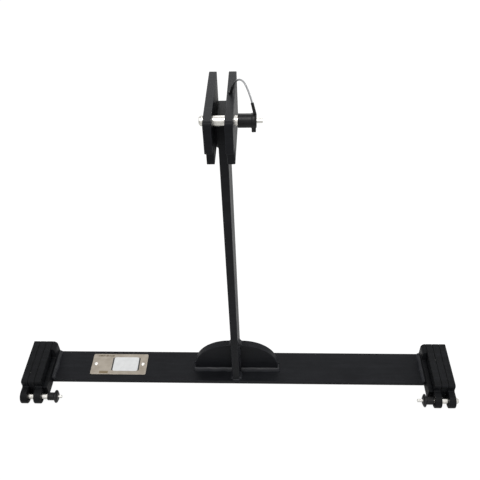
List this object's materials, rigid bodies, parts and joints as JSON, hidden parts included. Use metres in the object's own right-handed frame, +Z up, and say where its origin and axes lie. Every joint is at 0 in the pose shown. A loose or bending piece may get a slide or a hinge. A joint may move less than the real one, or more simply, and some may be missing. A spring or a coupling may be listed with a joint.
{
  "type": "spool holder stand",
  "caption": "Welded flat-bar stand: a low base bar and gusseted upright, with clevises at the top and both ends closed by quick-release pins, the top pin on a wire lanyard.",
  "frame": {"origin": "middle of the base bar's underside, on the surface that the stand rests on", "axes": "+X along the base bar to the right as seen from the side that the pins are on, +Y to the rear, +Z up the post"},
  "size_m": [0.6106, 0.0959, 0.4877],
  "materials": {
    "black_paint": "satin black paint over mill-finish flat bar",
    "painted_weld": "satin black paint over rippled weld beads",
    "plate_metal": "brushed champagne-coloured plate",
    "rivet_metal": "bright domed rivet heads",
    "label_film": "blank white adhesive film",
    "pin_steel": "ground bright steel",
    "button_steel": "turned bright steel",
    "ball_steel": "polished ball",
    "spring_steel": "drawn spring wire",
    "wire_steel": "stranded wire rope",
    "black_handle": "black anodised, turned",
    "sleeve_plastic": "black heat-shrunk sleeve"
  },
  "bodies": {
    "frame": {"base_bar": "black_paint", "post": "black_paint", "gusset_left": "black_paint", "gusset_right": "black_paint", "gusset_welds": "painted_weld", "post_foot_weld": "painted_weld", "post_head_weld": "painted_weld", "top_ear_left": "black_paint", "top_ear_right": "black_paint", "top_web": "black_paint", "left_liner": "black_paint", "left_inner_ear": "black_paint", "left_block": "black_paint", "left_outer_ear": "black_paint", "left_bar_weld": "painted_weld", "right_liner": "black_paint", "right_inner_ear": "black_paint", "right_block": "black_paint", "right_outer_ear": "black_paint", "right_bar_weld": "painted_weld", "data_plate": "plate_metal", "plate_rivets": "rivet_metal", "blank_label": "label_film", "lanyard_anchor": "pin_steel", "lanyard_ear_sleeve": "sleeve_plastic", "lanyard_wire": "wire_steel"},
    "top_pin": {"top_pin_shank": "pin_steel", "top_pin_handle": "black_handle", "top_pin_spring": "spring_steel", "lanyard_pin_sleeve": "sleeve_plastic"},
    "left_pin": {"left_pin_shank": "pin_steel", "left_pin_handle": "black_handle", "left_pin_spring": "spring_steel"},
    "right_pin": {"right_pin_shank": "pin_steel", "right_pin_handle": "black_handle", "right_pin_spring": "spring_steel"},
    "top_button": {"top_pin_button": "button_steel"},
    "top_ball_upper": {"top_pin_ball_upper": "ball_steel"},
    "top_ball_lower": {"top_pin_ball_lower": "ball_steel"},
    "left_button": {"left_pin_button": "button_steel"},
    "left_ball_upper": {"left_pin_ball_upper": "ball_steel"},
    "left_ball_lower": {"left_pin_ball_lower": "ball_steel"},
    "right_button": {"right_pin_button": "button_steel"},
    "right_ball_upper": {"right_pin_ball_upper": "ball_steel"},
    "right_ball_lower": {"right_pin_ball_lower": "ball_steel"}
  },
  "joints": [
    {"name": "top_pin_slide", "type": "slide", "parent": "frame", "child": "top_pin", "axis": [1, 0, 0], "range_m": [0, 0.029]},
    {"name": "left_pin_slide", "type": "slide", "parent": "frame", "child": "left_pin", "axis": [1, 0, 0], "range_m": [-0.008, 0.032]},
    {"name": "right_pin_slide", "type": "slide", "parent": "frame", "child": "right_pin", "axis": [-1, 0, 0], "range_m": [0, 0.04]},
    {"name": "top_button_press", "type": "slide", "parent": "top_pin", "child": "top_button", "axis": [-1, 0, 0], "range_m": [0, 0.002], "stiffness_N_per_m": 400},
    {"name": "top_ball_upper_slide", "type": "slide", "parent": "top_pin", "child": "top_ball_upper", "axis": [0, 0, -1], "range_m": [0, 0.0005]},
    {"name": "top_ball_lower_slide", "type": "slide", "parent": "top_pin", "child": "top_ball_lower", "axis": [0, 0, 1], "range_m": [0, 0.0005]},
    {"name": "left_button_press", "type": "slide", "parent": "left_pin", "child": "left_button", "axis": [-1, 0, 0], "range_m": [-0.002, 0], "stiffness_N_per_m": 400},
    {"name": "left_ball_upper_slide", "type": "slide", "parent": "left_pin", "child": "left_ball_upper", "axis": [0, 0, -1], "range_m": [-0.0005, 0]},
    {"name": "left_ball_lower_slide", "type": "slide", "parent": "left_pin", "child": "left_ball_lower", "axis": [0, 0, 1], "range_m": [-0.0005, 0]},
    {"name": "right_button_press", "type": "slide", "parent": "right_pin", "child": "right_button", "axis": [1, 0, 0], "range_m": [0, 0.002], "stiffness_N_per_m": 400},
    {"name": "right_ball_upper_slide", "type": "slide", "parent": "right_pin", "child": "right_ball_upper", "axis": [0, 0, -1], "range_m": [0, 0.0005]},
    {"name": "right_ball_lower_slide", "type": "slide", "parent": "right_pin", "child": "right_ball_lower", "axis": [0, 0, 1], "range_m": [0, 0.0005]}
  ],
  "couplings": [
    {"joint": "top_ball_upper_slide", "follows": "top_button_press", "ratio": 0.25},
    {"joint": "top_ball_lower_slide", "follows": "top_button_press", "ratio": 0.25},
    {"joint": "left_ball_upper_slide", "follows": "left_button_press", "ratio": 0.25},
    {"joint": "left_ball_lower_slide", "follows": "left_button_press", "ratio": 0.25},
    {"joint": "right_ball_upper_slide", "follows": "right_button_press", "ratio": 0.25},
    {"joint": "right_ball_lower_slide", "follows": "right_button_press", "ratio": 0.25}
  ]
}
